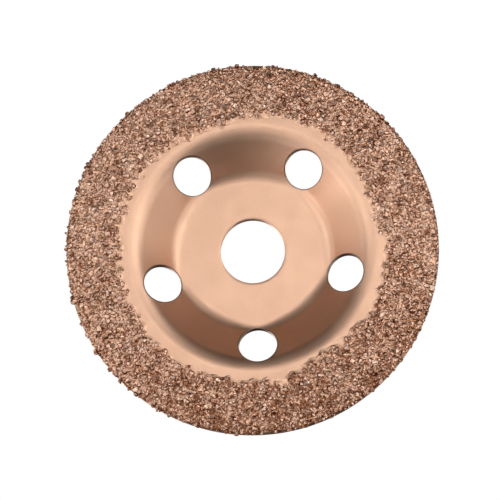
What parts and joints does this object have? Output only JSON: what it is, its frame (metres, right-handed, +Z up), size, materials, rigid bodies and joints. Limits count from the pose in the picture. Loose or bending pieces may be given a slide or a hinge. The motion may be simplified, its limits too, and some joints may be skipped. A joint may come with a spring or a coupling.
{
  "type": "angle grinder carving disc",
  "caption": "Dished steel carving disc for an angle grinder: central bore, round vent holes in the cone wall, flat rim with a brazed ring of coarse crushed carbide grit.",
  "frame": {"origin": "centre of the bore at the hub's back face, the face that seats on the grinder's flange", "axes": "+Y along the disc's axis, out of the back, towards the grinder; the grit face looks towards -Y; +Z up with one vent hole almost straight down; the disc stands upright, like a wheel"},
  "size_m": [0.1259, 0.0185, 0.1256],
  "materials": {
    "dish": "satin copper-coloured coat over pressed steel",
    "braze": "as-flowed copper braze",
    "grit": "crushed carbide with a copper-coloured braze coat"
  },
  "bodies": {
    "root": {"backing_dish": "dish", "braze_layer": "braze", "grit_fringe_bottom": "grit", "grit_fringe_right": "grit", "grit_fringe_upper_right": "grit", "grit_fringe_upper_left": "grit", "grit_fringe_left": "grit", "grit_inner_bottom": "grit", "grit_inner_right": "grit", "grit_inner_upper_right": "grit", "grit_inner_upper_left": "grit", "grit_inner_left": "grit", "grit_outer_bottom": "grit", "grit_outer_right": "grit", "grit_outer_upper_right": "grit", "grit_outer_upper_left": "grit", "grit_outer_left": "grit", "grit_edge_bottom": "grit", "grit_edge_right": "grit", "grit_edge_upper_right": "grit", "grit_edge_upper_left": "grit", "grit_edge_left": "grit"}
  },
  "joints": []
}
